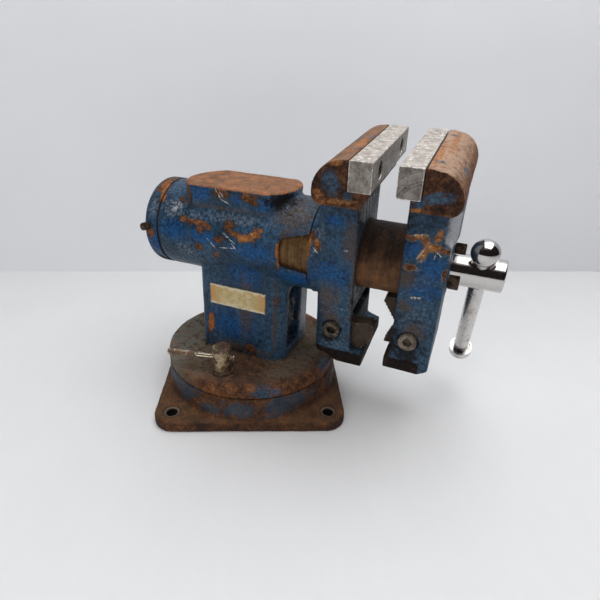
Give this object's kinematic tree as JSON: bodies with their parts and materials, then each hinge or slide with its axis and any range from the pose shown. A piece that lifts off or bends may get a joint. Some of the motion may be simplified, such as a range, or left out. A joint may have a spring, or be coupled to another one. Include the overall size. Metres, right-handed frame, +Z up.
{
  "type": "rotating head bench vise",
  "caption": "Bolt-down swivel base bench vise with a turning head, flat jaws above pipe jaws, an anvil, a sliding front jaw and a handle screw.",
  "frame": {"origin": "centre of the four bench bolt holes, on the underside of the base plate", "axes": "+Z up along the swivel axis, X and Y along the sides of the base plate; at rest the vise axis runs 25 degrees from +X towards -Y"},
  "size_m": [0.3358, 0.244, 0.2726],
  "materials": {
    "rusted_casting": "rusted, with remains of blue paint",
    "blue_hammered_casting": "hammered paint, chipped and rusted",
    "worn_jaw_steel": "worn bare steel",
    "chrome_steel": "chrome, pitted on the bar",
    "rusted_steel": "rusted",
    "bronze": "machined",
    "aged_label": "yellowed film, blank"
  },
  "bodies": {
    "base": {"base_casting": "rusted_casting"},
    "swivel_body": {"swivel_body": "blue_hammered_casting", "blank_label": "aged_label", "pivot_bolt": "rusted_steel", "pivot_washer": "rusted_steel", "swivel_lock_washer_near": "rusted_steel", "swivel_lock_washer_far": "rusted_steel", "swivel_lock_nut_near": "rusted_steel", "swivel_lock_nut_far": "rusted_steel"},
    "near_lock": {"swivel_lock_screw_near": "rusted_steel"},
    "near_lock_bar": {"tommy_bar_near": "rusted_steel"},
    "far_lock": {"swivel_lock_screw_far": "rusted_steel"},
    "far_lock_bar": {"tommy_bar_far": "rusted_steel"},
    "head_lock": {"head_lock_screw": "rusted_steel"},
    "head_lock_bar": {"head_lock_bar": "rusted_steel"},
    "head": {"fixed_jaw": "blue_hammered_casting", "rear_cap": "blue_hammered_casting", "cap_lock_screw": "rusted_steel", "fixed_jaw_bar": "worn_jaw_steel", "fixed_jaw_bar_screws": "rusted_steel", "fixed_pipe_jaw": "rusted_steel", "fixed_pipe_jaw_bolt": "rusted_steel", "fixed_pipe_jaw_nut": "rusted_steel", "spindle_nut": "bronze", "spindle_nut_bolt": "rusted_steel"},
    "moving_jaw": {"moving_jaw": "blue_hammered_casting", "moving_jaw_bar": "worn_jaw_steel", "moving_jaw_bar_screws": "rusted_steel", "moving_pipe_jaw": "rusted_steel", "moving_pipe_jaw_bolt": "rusted_steel", "moving_pipe_jaw_nut": "rusted_steel", "thrust_collar": "rusted_steel"},
    "spindle": {"spindle_screw": "chrome_steel", "thrust_washer": "rusted_steel", "retaining_collar": "rusted_steel", "retaining_pin": "rusted_steel"},
    "handle": {"handle_bar": "chrome_steel", "handle_ball": "chrome_steel", "handle_end_cap": "chrome_steel"}
  },
  "joints": [
    {"name": "base_swivel", "type": "hinge", "parent": "base", "child": "swivel_body", "pos_m": [0, 0, 0.0475], "axis": [0, 0, 1], "continuous": true},
    {"name": "near_lock_turn", "type": "hinge", "parent": "swivel_body", "child": "near_lock", "pos_m": [-0.02789, -0.05982, 0.0565], "axis": [0, 0, 1], "range_deg": [-45, 16]},
    {"name": "near_lock_bar_slide", "type": "slide", "parent": "near_lock", "child": "near_lock_bar", "axis": [-0.9826, 0.1857, 0], "range_m": [-0.04, 0]},
    {"name": "far_lock_turn", "type": "hinge", "parent": "swivel_body", "child": "far_lock", "pos_m": [0.02789, 0.05982, 0.0565], "axis": [0, 0, 1], "range_deg": [-10, 50]},
    {"name": "far_lock_bar_slide", "type": "slide", "parent": "far_lock", "child": "far_lock_bar", "axis": [-0.7071, 0.7071, 0], "range_m": [-0.04, 0]},
    {"name": "head_lock_turn", "type": "hinge", "parent": "swivel_body", "child": "head_lock", "pos_m": [0.0027, 0.06494, 0.1685], "axis": [0.4226, 0.9063, 0], "range_deg": [-90, 90]},
    {"name": "head_lock_bar_slide", "type": "slide", "parent": "head_lock", "child": "head_lock_bar", "axis": [0, 0, 1], "range_m": [0, 0.04]},
    {"name": "head_turn", "type": "hinge", "parent": "swivel_body", "child": "head", "pos_m": [0, 0, 0.1685], "axis": [0.9063, -0.4226, 0], "continuous": true},
    {"name": "jaw_slide", "type": "slide", "parent": "head", "child": "moving_jaw", "axis": [0.9063, -0.4226, 0], "range_m": [-0.0165, 0.11]},
    {"name": "spindle_turn", "type": "hinge", "parent": "moving_jaw", "child": "spindle", "pos_m": [0.1722, -0.0803, 0.1685], "axis": [0.9063, -0.4226, 0], "range_deg": [-1189, 7921]},
    {"name": "handle_slide", "type": "slide", "parent": "spindle", "child": "handle", "axis": [-0.2113, -0.4532, 0.866], "range_m": [0, 0.108]}
  ],
  "couplings": [
    {"joint": "spindle_turn", "follows": "jaw_slide", "rad_per_m": 1256.6}
  ]
}
